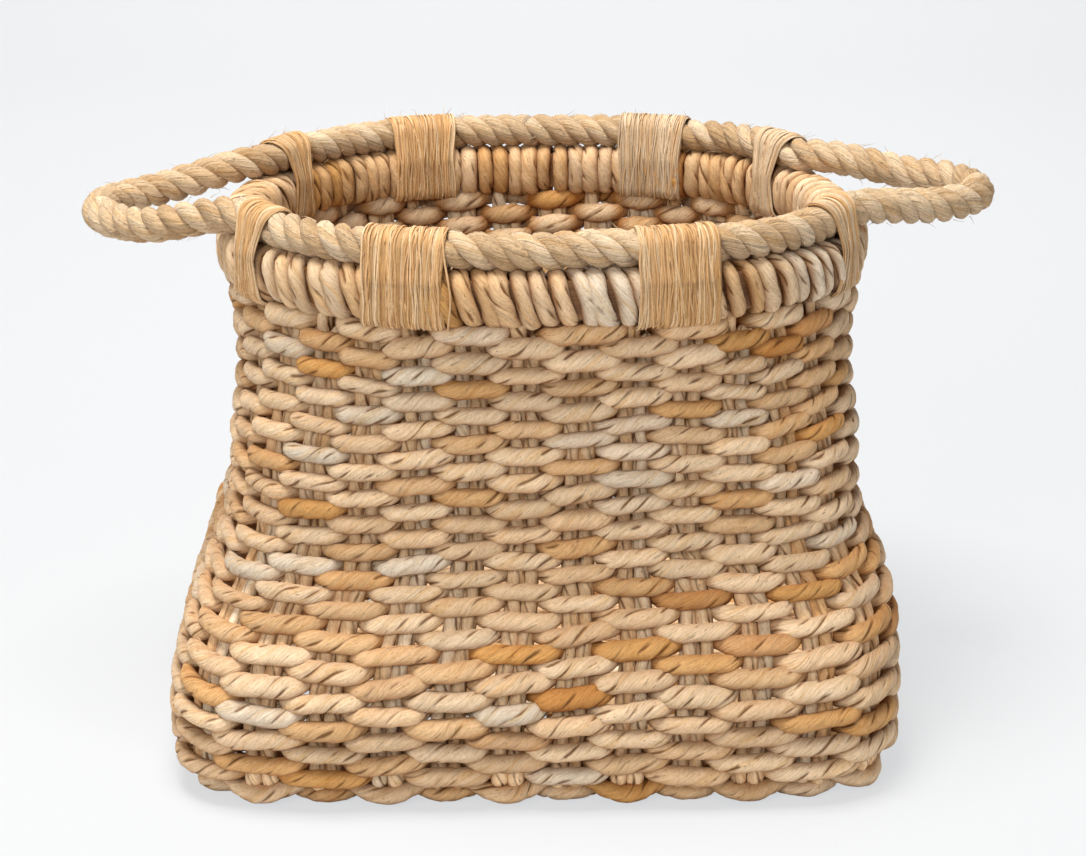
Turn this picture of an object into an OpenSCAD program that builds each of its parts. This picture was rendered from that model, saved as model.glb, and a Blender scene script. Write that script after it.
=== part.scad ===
// Woven laundry basket: twisted bark-cord weavers randed over and under paired stakes from
// the edge of the base to a wrapped rim, and one laid rope that lies on the rim's long sides
// and swings out into two handle loops. Fibre lashings bind the rope to the rim.
// Origin: centre of the floor area, +Z up, front at -Y.

/* [Body] */
// Widest outside width of the woven body, just above the floor
foot_w = 506; // [470:1:560]
// Widest outside depth of the woven body, just above the floor
foot_d = 438; // [406:1:470]
// Outside width of the woven body at its waist, below the rim
waist_w = 418; // [390:1:450]
// Outside depth of the woven body at its waist, below the rim
waist_d = 378; // [350:1:400]
// Height of the waist above the floor
waist_z = 258; // [230:1:280]
// Height of the underside of the wrapped rim above the floor
rim_z = 315; // [300:1:340]
// How far the wall leans out again from the waist to the rim
lip = 10; // [4:1:14]
// Squareness of the plan at the foot, where 2 is an ellipse
foot_square = 4.8; // [3.6:0.1:5.2]
// Squareness of the plan at the rim, where 2 is an ellipse
rim_square = 2.5; // [2.2:0.1:3]

/* [Weave] */
// Stakes that rise from each long side, between the corner stakes
long_stakes = 10; // [8:2:10]
// Stakes that rise from each short side, between the corner stakes
short_stakes = 8; // [6:2:8]
// Width of a stake, which is two twisted cords side by side
stake_w = 17; // [14:0.5:19]
// Thickness of a stake cord
stake_t = 8.5; // [7:0.1:9.5]
// Thickness of a weaver cord
weaver_d = 8.2; // [7.4:0.1:9]
// Height that one course takes up in the wall
course_pitch = 8.9; // [8.6:0.1:10]
// How much fuller a float is in its middle than where it dives behind the next stake
float_crown = 1.1; // [0:0.1:2]
// Thickness of a cord of the base mat
base_cord_d = 6.2; // [5:0.1:7]
// Clearance between pieces that press on each other
seat = 0.15; // [0.1:0.05:0.3]

/* [Rim] */
// Height of the wrapped rim
rim_h = 34; // [30:1:40]
// Thickness of each of the two split hoops inside the wrapping
hoop_t = 6; // [5:0.5:8]
// Thickness of the wrapping cord
wrap_t = 4.4; // [3.5:0.1:5]
// Distance from one turn of the wrapping to the next
wrap_pitch = 11.8; // [10:0.1:16]

/* [Rope] */
// Thickness of the laid rope
rope_d = 24; // [20:0.5:28]
// Reach of a handle loop beyond the middle of the rim's short side
handle_reach = 97; // [80:1:120]
// How far the tip of a handle loop hangs below the rope on the rim
handle_drop = 10; // [0:1:16]

/* [Lashings] */
// Width of each of the four lashings on the long sides
wide_lashing = 50; // [36:1:60]
// Width of each of the four lashings at the handle roots
root_lashing = 34; // [24:1:40]
// Thickness of the lashing fibre
lashing_t = 1.6; // [1:0.1:2]
// Distance of a wide lashing from the middle of the long side
wide_lashing_x = 87; // [70:1:100]
// Distance of a root lashing's middle from the middle of the short side
handle_root_y = 108; // [100:1:116]

/* [Hidden] */
// ---- Wall profile -------------------------------------------------------------------
stakes = 2 * long_stakes + 2 * short_stakes + 4;  // four sides and four corners
depth = stake_t / 2 + seat + weaver_d / 2;        // weaver centre to the centre of an upright wall
wall_half = depth + weaver_d / 2 + float_crown;   // outside of a float to wall centre
mat_z = base_cord_d + seat + stake_t / 2;         // centre of the front-back strands
bend_r = 10;                                      // radius in which a stake turns into the base
widest_z = mat_z + bend_r;                        // the wall is widest where the bend ends
rim_mid_z = rim_z + rim_h / 2;

// Heights between which the wall runs straight, from the top down
stake_top = rim_z + rim_h - wrap_t - seat;
taper_z = rim_z - 2 * wrap_t;                     // one cord of each stake is cut off here
levels = concat([stake_top, rim_z, taper_z, (taper_z + waist_z) / 2],
    [for (f = [1, 0.74, 0.52, 0.33, 0.16, 0]) widest_z + f * (waist_z - widest_z)]);
// Share of the foot's extra spread that is left at each level, and the lean-out above the waist
flare = [for (k = [len(levels) - 1 : -1 : 0]) let (z = levels[k])
    [z, pow(1 - min(1, (z - widest_z) / (waist_z - widest_z)), 1.2)]];
lean_out = [for (k = [len(levels) - 1 : -1 : 0]) let (z = levels[k])
    [z, lip * pow(min(1, max(0, (z - waist_z) / (rim_z - waist_z))), 1.5)]];
function spread(z) = lookup(z, flare);
function lean(z) = lookup(z, lean_out);
// Half width, half depth and squareness of the wall's centre surface at height z
function half_x(z) = waist_w / 2 - wall_half + (foot_w - waist_w) / 2 * spread(z) + lean(z);
function half_y(z) = waist_d / 2 - wall_half + (foot_d - waist_d) / 2 * spread(z) + lean(z);
function squareness(z) =
    foot_square + (rim_square - foot_square) * min(1, max(0, (z - widest_z) / (rim_z - widest_z)));

// Point of the superellipse with half axes a, b and squareness n, at polar angle t
function plan_point(t, a, b, n) =
    pow(pow(abs(cos(t)) / a, n) + pow(abs(sin(t)) / b, n), -1 / n) * [cos(t), sin(t)];
// Outward normal of that superellipse at point p
function plan_normal(p, a, b, n) =
    let (g = [sign(p.x) * pow(abs(p.x) / a, n - 1) / a, sign(p.y) * pow(abs(p.y) / b, n - 1) / b])
    g / norm(g);
// Point at a distance off outside the wall's centre surface
function wall_point(t, z, off = 0) =
    let (a = half_x(z), b = half_y(z), n = squareness(z), p = plan_point(t, a, b, n))
    p + off * plan_normal(p, a, b, n);
function wall_normal(t, z) =
    let (a = half_x(z), b = half_y(z), n = squareness(z))
    plan_normal(plan_point(t, a, b, n), a, b, n);

// ---- Even spacing of the stakes round the wall ----------------------------------------
table_step = 3;
table_z = (widest_z + waist_z) / 2;
arc_table = [
    for (t = 0, s = 0; t <= 360;
         s = s + norm(wall_point(t + table_step, table_z) - wall_point(t, table_z)), t = t + table_step)
    [s, t]];
arc_total = arc_table[len(arc_table) - 1][0];
// Polar angle at u stake spacings from the middle of the right side
function angle_at(u) =
    let (turns = floor(u / stakes)) lookup((u / stakes - turns) * arc_total, arc_table) + 360 * turns;
// Stake i stands half a spacing past the middle of the right side
function stake_angle(i) = angle_at(i + 0.5);

// ---- Swept solids ---------------------------------------------------------------------
// Faces of a tube through rings of m points, closed on itself or capped
function tube_faces(rings, m, closed) = concat(
    [for (r = [0 : rings - (closed ? 1 : 2)], k = [0 : m - 1])
        let (a = r * m, b = (r + 1) % rings * m, j = (k + 1) % m) each
        [[a + k, b + k, a + j], [a + j, b + k, b + j]]],
    closed ? [] : [[for (k = [0 : m - 1]) k], [for (k = [m - 1 : -1 : 0]) (rings - 1) * m + k]]);
module tube(rings, closed = false)
    polyhedron([for (r = rings) each r], tube_faces(len(rings), len(rings[0]), closed));

// Six-sided section of a stake: w wide along side, t thick along face
function stake_ring(c, side, face, w, t = stake_t) =
    [for (q = [[-1, 0], [-0.5, -1], [0.5, -1], [1, 0], [0.5, 1], [-0.5, 1]])
        c + side * q.x * w / 2 + face * q.y * t / 2];
// Round section with m sides, in the plane of the axes e and f
function round_ring(c, e, f, d, m) =
    [for (k = [0 : m - 1]) c + d / 2 * (cos(360 * (k + 0.5) / m) * e - sin(360 * (k + 0.5) / m) * f)];

// ---- Stakes and base ------------------------------------------------------------------
function stake_width(z) = z >= rim_z - 0.01 ? stake_w / 2 : stake_w;

// The stake's sections down the wall, at polar angle t
function wall_rings(t) = [for (z = levels)
    let (p = wall_point(t, z), q = wall_normal(t, z))
    stake_ring([p.x, p.y, z], [-q.y, q.x, 0], [q.x, q.y, 0], stake_width(z))];
// The bend from the wall to the base: e points into the basket, side along the wall
function bend_rings(p, e, side) = [for (a = [30, 60, 90])
    stake_ring([p.x, p.y, widest_z] + bend_r * ((1 - cos(a)) * e - [0, 0, sin(a)]),
               side, sin(a) * [0, 0, -1] - cos(a) * e, stake_w)];

corner = short_stakes / 2;                        // number of the first corner stake
long_steps = [0 : long_stakes / 2 - 1];
short_steps = [0 : short_stakes / 2 - 1];
// A strand that rises up both long sides and crosses the base from front to back
module front_back_strand(k, side) {
    t = stake_angle(corner + 1 + k);
    front = concat(wall_rings(t), bend_rings(wall_point(t, widest_z), [0, -1, 0], [-1, 0, 0]));
    back = [for (r = [len(front) - 1 : -1 : 0]) mirror_ring_y(front[r])];
    mirror([side, 0, 0]) tube(concat(front, back));
}
// The same ring on the far side, which runs the other way round and is passed the other way
function mirror_ring_y(ring) = [for (p = ring) [p.x, -p.y, p.z]];
function mirror_ring_x(ring) = [for (p = ring) [-p.x, p.y, p.z]];

// A strand that rises up both short sides and lies over the front-back strands in the base
over_z = mat_z + stake_t + seat;
module side_to_side_strand(k, side) {
    t = stake_angle(k);
    edge = wall_point(t, widest_z);
    crossed_x = wall_point(stake_angle(corner + 1), widest_z).x + stake_w / 2;
    right = concat(wall_rings(t), bend_rings(edge, [-1, 0, 0], [0, 1, 0]),
        [stake_ring([crossed_x, edge.y, over_z], [0, 1, 0], [0, 0, -1], stake_w)]);
    left = [for (r = [len(right) - 1 : -1 : 0]) mirror_ring_x(right[r])];
    mirror([0, side, 0]) tube(concat(right, left));
}
// A corner stake, whose short tail is tucked into the corner of the base
module corner_stake(sx, sy) {
    t = stake_angle(corner);
    e = -[cos(t), sin(t), 0];
    mirror([sx, 0, 0]) mirror([0, sy, 0])
        tube(concat(wall_rings(t), bend_rings(wall_point(t, widest_z), e, [e.y, -e.x, 0])));
}
module front_back_strands()
    color("burlywood") for (k = long_steps, side = [0, 1]) front_back_strand(k, side);
module side_to_side_strands()
    color("tan") for (k = short_steps, side = [0, 1]) side_to_side_strand(k, side);
module corner_stakes()
    color("burlywood") for (sx = [0, 1], sy = [0, 1]) corner_stake(sx, sy);

// Cords of the base mat, woven over and under the front-back strands between the
// side-to-side strands, side by side as closely as they fit
mat_inset = 24;                                   // the mat's edge to the wall's centre surface
wave_z = (stake_t + base_cord_d) / 2 + seat;      // a mat cord's centre above or below a strand's
row_edges = concat([half_y(widest_z) - mat_inset],
    [for (k = [corner - 1 : -1 : 0]) let (y = wall_point(stake_angle(k), widest_z).y)
        each [y + stake_w / 2, y - stake_w / 2]]);
gaps_y = [for (k = [0 : 2 : len(row_edges) - 2]) [row_edges[k + 1], row_edges[k]]];
function strand_x(k) = wall_point(stake_angle(corner + 1 + k), widest_z).x;
crossings = concat([for (k = long_steps) -strand_x(k)],
                   [for (k = long_steps) strand_x(long_stakes / 2 - 1 - k)]);
// Middles of the cords that fit from y = low to y = high
function cords_between(low, high) =
    let (n = floor((high - low) / (base_cord_d + seat)), free = (high - low) / max(n, 1))
    [for (k = [0 : 1 : n - 1]) low + free * (k + 0.5)];
mat_rows = concat([for (g = gaps_y) each cords_between(g[0], g[1])],
                  cords_between(0, row_edges[len(row_edges) - 1]));
// A mat cord ends inside the wall's curve, and short of a strand that it can't cross fully
function mat_reach(y) =
    let (a = half_x(widest_z) - mat_inset, b = half_y(widest_z) - mat_inset + seat,
         free = a * pow(1 - pow(y / b, foot_square), 1 / foot_square),
         near = [for (x = crossings) if (abs(x - free) < 0.75 * stake_w) x - stake_w / 2 - 2 * seat])
    len(near) == 0 ? free : min(free, near[0]);
module base_mat_cord(y, phase) {
    reach = mat_reach(abs(y));
    met = [for (k = [0 : len(crossings) - 1]) if (abs(crossings[k]) < reach - stake_t) k];
    spine = concat([[-reach, 0]],
        [for (k = met, d = [-1, 1])
            [crossings[k] + d * stake_w / 3, ((k + phase) % 2 == 0 ? 1 : -1) * wave_z]],
        [[reach, 0]]);
    half = base_cord_d / 2;
    translate([0, y + half, mat_z]) rotate([90, 0, 0]) linear_extrude(height = base_cord_d)
        polygon(concat([for (p = spine) p + [0, half]],
                       [for (k = [len(spine) - 1 : -1 : 0]) spine[k] - [0, half]]));
}
module base_mat_cords() color("wheat")
    for (k = [0 : len(mat_rows) - 1], s = [-1, 1]) base_mat_cord(s * mat_rows[k], s > 0 ? k : k + 1);

// ---- Wall courses ---------------------------------------------------------------------
courses_top = rim_z - lashing_t - 2 * seat;
course_count = floor((courses_top - widest_z) / course_pitch + 0.5);
flat_half = 5;                                    // a float lies flat on its stake this far each side
flat = flat_half / (arc_total / stakes);
// Height of the middle of course k, counted up from the foot
function course_z(k) = courses_top - (course_count - k - 0.5) * course_pitch;
// How far a leaning stake crosses a course within the course's own height, to each side
function lean_room(z) = max([for (h = [-0.6, 0.6] * weaver_d)
    each [abs(half_x(z + h) - half_x(z)), abs(half_y(z + h) - half_y(z))]]);
// One side of a course's outline: edge is 1 outside and -1 inside
function course_edge(k, edge) = let (z = course_z(k), reach = depth + lean_room(z))
    [for (i = [0 : stakes - 1])
        let (front = (i + k) % 2 == 0 ? 1 : -1, off = front * reach + edge * weaver_d / 2)
        for (s = front == edge ? [-1, 0, 1] : [-1, 1])
            wall_point(angle_at(i + 0.5 + s * flat), z, off + (s == 0 ? edge * float_crown : 0))];
// One weaver cord, once round the wall, in front of one stake and behind the next
module wall_course(k)
    color(k % 3 == 0 ? "burlywood" : k % 3 == 1 ? "wheat" : "tan")
        translate([0, 0, course_z(k) - weaver_d / 2]) linear_extrude(height = weaver_d)
            difference() {
                polygon(course_edge(k, 1));
                polygon(course_edge(k, -1));
            }

// ---- Foot courses ---------------------------------------------------------------------
// The two lowest courses lie on the bend of the stakes: each passes outside one stake's bend
// and inside the next, and dips through the gap between them.
// A pass is [inward, up] from the wall's centre surface and the floor.
foot_sides = 5;                                   // corners of a foot course's section
function bend_pass(a) = [bend_r - (bend_r + depth) * cos(a), widest_z - (bend_r + depth) * sin(a)];
upper_passes = [bend_pass(30), [0.3 * weaver_d, widest_z - weaver_d],
                [bend_r + 2 * seat, mat_z + depth + 2 * seat]];
lower_passes = [bend_pass(60), [1.35 * weaver_d, widest_z - 1.4 * weaver_d],
                [bend_r + 1.25 * weaver_d, over_z + weaver_d / 2]];
// The way out of the base at stake i, along its own strand or, at a corner, square to the wall
function way_out(i) =
    let (h = i % (stakes / 2), q = wall_normal(stake_angle(i), widest_z))
    h == corner || h == stakes / 2 - 1 - corner ? q
        : abs(q.x) > abs(q.y) ? [sign(q.x), 0] : [0, sign(q.y)];
// passes are in front of a stake, between two stakes and behind the next one
module foot_course(passes, phase)
    tube([for (i = [0 : stakes - 1], s = [-1, 1, 2])
        let (t = angle_at(i + 0.5 + (s == 2 ? 0.5 : s * flat)),
             q = s == 2 ? wall_normal(t, widest_z) : way_out(i),
             inside = s != 2 && (i + phase) % 2 == 1,
             w = s == 2 ? passes[1] : inside ? passes[2] : passes[0],
             c = wall_point(t, widest_z) - q * w.x / (inside ? q * wall_normal(t, widest_z) : 1))
        round_ring([c.x, c.y, w.y], [q.x, q.y, 0], [0, 0, 1], weaver_d, foot_sides)],
        closed = true);
module foot_course_upper() color("tan") foot_course(upper_passes, 1);
module foot_course_lower() color("wheat") foot_course(lower_passes, 0);

// ---- Rim ------------------------------------------------------------------------------
hoop_z0 = rim_z + wrap_t + seat;
hoop_h = rim_h - 2 * (wrap_t + seat);
hoop_gap = stake_t / 2 + seat;                    // from the rim's centre line to a hoop
rim_half = hoop_gap + hoop_t + 2 * seat + wrap_t; // half the thickness of the wrapped rim
rim_steps = 3 * stakes;
function rim_edge(off) =
    [for (h = [0 : rim_steps - 1]) wall_point(angle_at(h * stakes / rim_steps), rim_mid_z, off)];
module rim_hoop(off)
    translate([0, 0, hoop_z0]) linear_extrude(height = hoop_h) difference() {
        polygon(rim_edge(off + hoop_t));
        polygon(rim_edge(off));
    }
module outer_rim_hoop() color("peru") rim_hoop(hoop_gap);
module inner_rim_hoop() color("peru") rim_hoop(-hoop_gap - hoop_t);

// The disc of [x, z, radius] that reaches furthest at angle v
function outermost(discs, v) =
    let (s = [for (c = discs) c.x * cos(v) + c.y * sin(v) + c.z]) discs[search(max(s), s)[0]];
// Angle at which a tight wrapping leaves disc a for disc b, going round anticlockwise
function leaving(a, b) =
    atan2(b.y - a.y, b.x - a.x) - acos((a.z - b.z) / norm([b.x - a.x, b.y - a.y]));
// Outline that runs tight round discs, grown by g, with a corner about every arc_step degrees
arc_step = 45;
function wrapped(discs, g) =
    let (met = [for (v = [0 : 3 : 357])
        if (outermost(discs, v) != outermost(discs, v - 3)) outermost(discs, v)])
    [for (k = [0 : len(met) - 1])
        let (c = met[k], from = leaving(met[(k + len(met) - 1) % len(met)], c),
             turn = ((leaving(c, met[(k + 1) % len(met)]) - from) % 360 + 360) % 360,
             n = ceil(turn / arc_step - 0.01))
        for (j = [0 : 1 : n - 1]) let (v = from + (j + 0.5) * turn / n)
            [c.x, c.y] + (c.z + g) / cos(turn / n / 2) * [cos(v), sin(v)]];
// The hoops' corners as discs, in a section with the rim's middle as origin
corner_r = 1.5;
hoop_discs = [for (x = [-1, 1], z = [-1, 1])
    [x * (rim_half - wrap_t - corner_r), z * (hoop_h / 2 + seat - corner_r), corner_r]];
// Puts a section drawn in x and y upright across the rim at polar angle t, w thick
module across_rim(t, w) {
    p = wall_point(t, rim_mid_z);
    q = wall_normal(t, rim_mid_z);
    translate([p.x, p.y, rim_mid_z]) rotate([0, 0, atan2(q.y, q.x)])
        rotate([90, 0, 0]) translate([0, 0, -w / 2]) linear_extrude(height = w) children();
}
// Room for the top of stake i where it leans through a turn or a lashing
slot_t = stake_t + 6;
slot_end = 1;                                     // how far a slot runs past what it opens
module stake_slot(i, low, high) {
    t = stake_angle(i);
    p = wall_point(t, rim_mid_z);
    q = wall_normal(t, rim_mid_z);
    translate([p.x, p.y, low]) rotate([0, 0, atan2(q.y, q.x)])
        translate([-slot_t / 2, -stake_w / 4 - 2 * seat, 0])
            cube([slot_t, stake_w / 2 + 4 * seat, high - low]);
}
// Room for each stake that a piece w wide at polar angle t would meet
module stake_slots(t, w, low, high)
    for (i = [0 : stakes - 1])
        if (norm(wall_point(stake_angle(i), rim_mid_z) - wall_point(t, rim_mid_z)) < (w + stake_w) / 2)
            stake_slot(i, low, high);
// Turns are as wide as the space that they have on the inside of the rim
rim_table = [
    for (t = 0, s = 0; t <= 360;
         s = s + norm(wall_point(t + table_step, rim_mid_z) - wall_point(t, rim_mid_z)), t = t + table_step)
    [s, t]];
rim_length = rim_table[len(rim_table) - 1][0];
turn_count = 4 * round(rim_length / wrap_pitch / 4);
turn_w = rim_length / turn_count * (1 - 1.4 * rim_half / half_y(rim_mid_z));
module wrap_turn(t) difference() {
    across_rim(t, turn_w) difference() {
        polygon(wrapped(hoop_discs, wrap_t - seat));
        square([2 * (rim_half - wrap_t), hoop_h + 2 * seat], center = true);
    }
    stake_slots(t, turn_w, rim_z - slot_end, hoop_z0 + slot_end);
}
module rim_wrap() color("navajowhite")
    for (k = [0 : turn_count - 1]) wrap_turn(rim_angle((k + 0.5) / turn_count * rim_length));

// ---- Rope -----------------------------------------------------------------------------
// One rope lies on the rim's long sides and forms both handles. Its splice is under a lashing.
rope_sides = 8;
rope_z = rim_z + rim_h + rope_d / 2 + 2 * seat;
// Polar angle at which the rim passes y = handle_root_y
root_t = lookup(handle_root_y,
    [for (t = [0 : 2 : 60]) [wall_point(t, rim_mid_z).y, t]]);
// Length along the rim to polar angle t, and back
function rim_way(t) = lookup((t + 360) % 360, [for (r = rim_table) [r[1], r[0]]]);
function rim_angle(s) = lookup((s + rim_length) % rim_length, rim_table);
// The rope leaves the rim where the root lashing ends, turned a little outward
leave_t = rim_angle(rim_way(root_t) - root_lashing / 2);
leave = wall_point(leave_t, rim_mid_z);
swing = 18;                                       // degrees outward of the way along the rim
leave_normal = wall_normal(leave_t, rim_mid_z);
leave_angle = atan2(leave_normal.y, leave_normal.x) - 90 + swing;
leave_way = [cos(leave_angle), sin(leave_angle)];
loop_tip = half_x(rim_mid_z) + handle_reach;
loop_round = 0.55 * handle_root_y;                // pull of the curve at the tip
function bezier(p, s) = pow(1 - s, 3) * p[0] + 3 * pow(1 - s, 2) * s * p[1]
    + 3 * (1 - s) * s * s * p[2] + pow(s, 3) * p[3];
// Half of a handle loop, from where it leaves the rim to its tip. It drops once clear of the rim.
function loop_point(s) =
    let (c = bezier([leave, leave + leave_way * handle_root_y * 0.37,
                     [loop_tip, loop_round], [loop_tip, 0]], s))
    [c.x, c.y, rope_z - handle_drop * (1 - cos(180 * max(0, min(1, 2 * s - 0.3)))) / 2];
side_steps = 9;
loop_steps = 7;
// A quarter of the rope, from the middle of a long side to the tip of a loop
rope_quarter = concat(
    [for (k = [0 : side_steps - 1])
        let (p = wall_point(90 + (leave_t - 90) * k / side_steps, rim_mid_z)) [p.x, p.y, rope_z]],
    [for (k = [0 : loop_steps]) loop_point(k / loop_steps)]);
last = len(rope_quarter) - 1;
rope_points = concat(
    rope_quarter,
    [for (k = [last - 1 : -1 : 0]) [rope_quarter[k].x, -rope_quarter[k].y, rope_quarter[k].z]],
    [for (k = [1 : last]) [-rope_quarter[k].x, -rope_quarter[k].y, rope_quarter[k].z]],
    [for (k = [last - 1 : -1 : 1]) [-rope_quarter[k].x, rope_quarter[k].y, rope_quarter[k].z]]);
module mouth_and_handle_rope() color("tan")
    tube([for (n = len(rope_points), k = [0 : n - 1])
        let (a = rope_points[(k + n - 1) % n], b = rope_points[(k + 1) % n], d = (b - a) / norm(b - a),
             e = cross(d, [0, 0, 1]) / norm(cross(d, [0, 0, 1])))
        round_ring(rope_points[k], e, cross(e, d), rope_d, rope_sides)], closed = true);

// ---- Lashings -------------------------------------------------------------------------
// Each lashing is a row of fibre hanks, each bound tight round the rope and the rim
hank_w = 8;
roll_r = corner_r + wrap_t;
roll_discs = [for (d = hoop_discs) [d.x, d.y, roll_r]];
rope_play = 0.5;                                  // room for the rope to curve inside a hank
bound_discs = concat(roll_discs, [[0, rope_z - rim_mid_z, rope_d / 2 + rope_play]]);
module hank(t, w) difference() {
    across_rim(t, w) difference() {
        polygon(wrapped(bound_discs, lashing_t + seat));
        polygon(wrapped(bound_discs, seat));
    }
    stake_slots(t, w, rim_z - 2 * lashing_t - slot_end, rim_z + slot_end);
}
// Hanks lie side by side where they pass inside the rim, and stand a little apart outside
hank_share = 1 - 2.2 * rim_half / half_y(rim_mid_z);
module lashing(t, w) {
    n = round(w / hank_w);
    for (k = [0 : n - 1])
        hank(rim_angle(rim_way(t) + (k - (n - 1) / 2) * w / n), w / n * hank_share);
}
// Polar angle at which the rim passes x = wide_lashing_x
wide_t = lookup(-wide_lashing_x,
    [for (t = [30 : 2 : 90]) [-wall_point(t, rim_mid_z).x, t]]);
module wide_lashing_at(t) color("goldenrod") lashing(t, wide_lashing);
module root_lashing_at(t) color("darkkhaki") lashing(t, root_lashing);
module rear_right_lashing() wide_lashing_at(wide_t);
module rear_left_lashing() wide_lashing_at(180 - wide_t);
module front_left_lashing() wide_lashing_at(180 + wide_t);
module front_right_lashing() wide_lashing_at(-wide_t);
module right_handle_rear_lashing() root_lashing_at(root_t);
module left_handle_rear_lashing() root_lashing_at(180 - root_t);
module left_handle_front_lashing() root_lashing_at(180 + root_t);
module right_handle_front_lashing() root_lashing_at(-root_t);

// ---- Nodes ----------------------------------------------------------------------------
course_names = [for (k = [0 : course_count - 1]) str("wall_course_", k < 9 ? "0" : "", k + 1)];

front_back_strands();
side_to_side_strands();
corner_stakes();
base_mat_cords();
foot_course_lower();
foot_course_upper();
for (k = [0 : course_count - 1])
    wall_course(k);
outer_rim_hoop();
inner_rim_hoop();
rim_wrap();
mouth_and_handle_rope();
front_left_lashing();
front_right_lashing();
rear_left_lashing();
rear_right_lashing();
left_handle_front_lashing();
left_handle_rear_lashing();
right_handle_front_lashing();
right_handle_rear_lashing();
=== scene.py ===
import math

import bpy
import numpy as np
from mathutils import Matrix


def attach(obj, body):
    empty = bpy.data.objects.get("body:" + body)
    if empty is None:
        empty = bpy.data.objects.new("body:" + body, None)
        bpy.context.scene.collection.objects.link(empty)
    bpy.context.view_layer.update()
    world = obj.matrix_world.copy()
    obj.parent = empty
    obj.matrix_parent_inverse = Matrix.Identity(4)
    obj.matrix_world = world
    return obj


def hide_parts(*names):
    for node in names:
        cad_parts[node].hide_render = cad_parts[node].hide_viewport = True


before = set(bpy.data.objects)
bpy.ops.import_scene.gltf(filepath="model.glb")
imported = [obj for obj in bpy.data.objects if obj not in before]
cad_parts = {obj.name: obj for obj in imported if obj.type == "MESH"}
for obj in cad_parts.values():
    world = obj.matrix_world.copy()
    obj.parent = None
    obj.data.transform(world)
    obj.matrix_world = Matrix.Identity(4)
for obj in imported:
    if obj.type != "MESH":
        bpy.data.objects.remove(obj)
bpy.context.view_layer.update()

MM = 0.001
TURN = 2 * math.pi

# ---- Sizes of the basket, in millimetres ------------------------------------
# As in the part's own source, but for FOOT_SQUARE: the dressed foot has squarer corners
FOOT_W, FOOT_D, WAIST_W, WAIST_D = 506, 438, 418, 378
WAIST_Z, RIM_Z, LIP = 258, 315, 10
FOOT_SQUARE, RIM_SQUARE = 8.0, 2.5
LONG_STAKES, SHORT_STAKES = 10, 8
STAKES = 2 * LONG_STAKES + 2 * SHORT_STAKES + 4
CORNER = SHORT_STAKES // 2
STAKE_W, STAKE_T = 17, 8.5
WEAVER_D, COURSE_PITCH, FLOAT_CROWN = 8.2, 8.9, 1.1
BASE_CORD_D, SEAT = 6.2, 0.15
RIM_H, HOOP_T, WRAP_T, WRAP_TURNS = 34, 6, 4.4, 108
ROPE_D, HANDLE_REACH, HANDLE_DROP = 24, 97, 10
WIDE_LASHING, ROOT_LASHING, LASHING_T = 50, 34, 1.6
WIDE_LASHING_X, HANDLE_ROOT_Y = 87, 108

MAT_Z = BASE_CORD_D + SEAT + STAKE_T / 2
BEND_R = 10
WIDEST_Z = MAT_Z + BEND_R
RIM_MID_Z = RIM_Z + RIM_H / 2
STAKE_TOP = RIM_Z + RIM_H - WRAP_T - SEAT
CUT_Z = RIM_Z - 2 * WRAP_T
DEPTH = STAKE_T / 2 + SEAT + WEAVER_D / 2
WALL_HALF = DEPTH + WEAVER_D / 2 + FLOAT_CROWN
RIM_HALF = STAKE_T / 2 + 3 * SEAT + HOOP_T + WRAP_T
RING_Z = RIM_Z + RIM_H + ROPE_D / 2 + 2 * SEAT

# What hand weaving did to it. At the foot the body is shifted to the left, turned (in degrees)
# and reaches forward. The shift and the reach start at ASKEW_TOP and grow downward.
ASKEW, FOOT_TURN, FOOT_FORWARD = 7.0, -1.8, 21.0
ASKEW_TOP, ASKEW_FADE = 130, 75
# The wall's bulge and tuck, as depth, height and spread, and how it is drawn in at the foot
BULGE, TUCK = (5.5, 98, 34), (7.2, 168, 36)
DRAWN_IN, DRAWN_IN_TOP, DRAWN_IN_FADE = 7.0, 58, 38


# ---- The wall's surface -----------------------------------------------------
def flare(z):
    """Share of the foot's extra spread that is left at height z."""
    return (1 - np.clip((z - WIDEST_Z) / (WAIST_Z - WIDEST_Z), 0, 1)) ** 1.2


def lean(z):
    return LIP * np.clip((z - WAIST_Z) / (RIM_Z - WAIST_Z), 0, 1) ** 1.5


def hand_bulge(z):
    """How much the woven wall stands outside its nominal surface, as hand weaving leaves it."""
    def hump(depth, height, spread):
        return depth * np.exp(-((z - height) / spread) ** 2)
    return hump(*BULGE) - hump(*TUCK) - DRAWN_IN * np.clip((DRAWN_IN_TOP - z) / DRAWN_IN_FADE, 0, 1)


def half_axes(z):
    z = np.asarray(z, float)
    a = WAIST_W / 2 - WALL_HALF + (FOOT_W - WAIST_W) / 2 * flare(z) + lean(z) + hand_bulge(z)
    b = WAIST_D / 2 - WALL_HALF + (FOOT_D - WAIST_D) / 2 * flare(z) + lean(z) + hand_bulge(z)
    rise = np.clip((z - WIDEST_Z) / (RIM_Z - WIDEST_Z), 0, 1)
    return a, b, FOOT_SQUARE + (RIM_SQUARE - FOOT_SQUARE) * rise


def wall(angle, z):
    """Points of the wall's centre surface and its level outward normals, at angles in radians."""
    a, b, n = half_axes(z)
    c, s = np.cos(angle), np.sin(angle)
    r = ((np.abs(c) / a) ** n + (np.abs(s) / b) ** n) ** (-1 / n)
    x, y = r * c, r * s
    gx = np.sign(x) * (np.abs(x) / a) ** (n - 1) / a
    gy = np.sign(y) * (np.abs(y) / b) ** (n - 1) / b
    size = np.hypot(gx, gy)
    flat = np.zeros_like(x)
    return (np.stack([x, y, flat + z], -1), np.stack([gx / size, gy / size, flat], -1))


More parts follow.
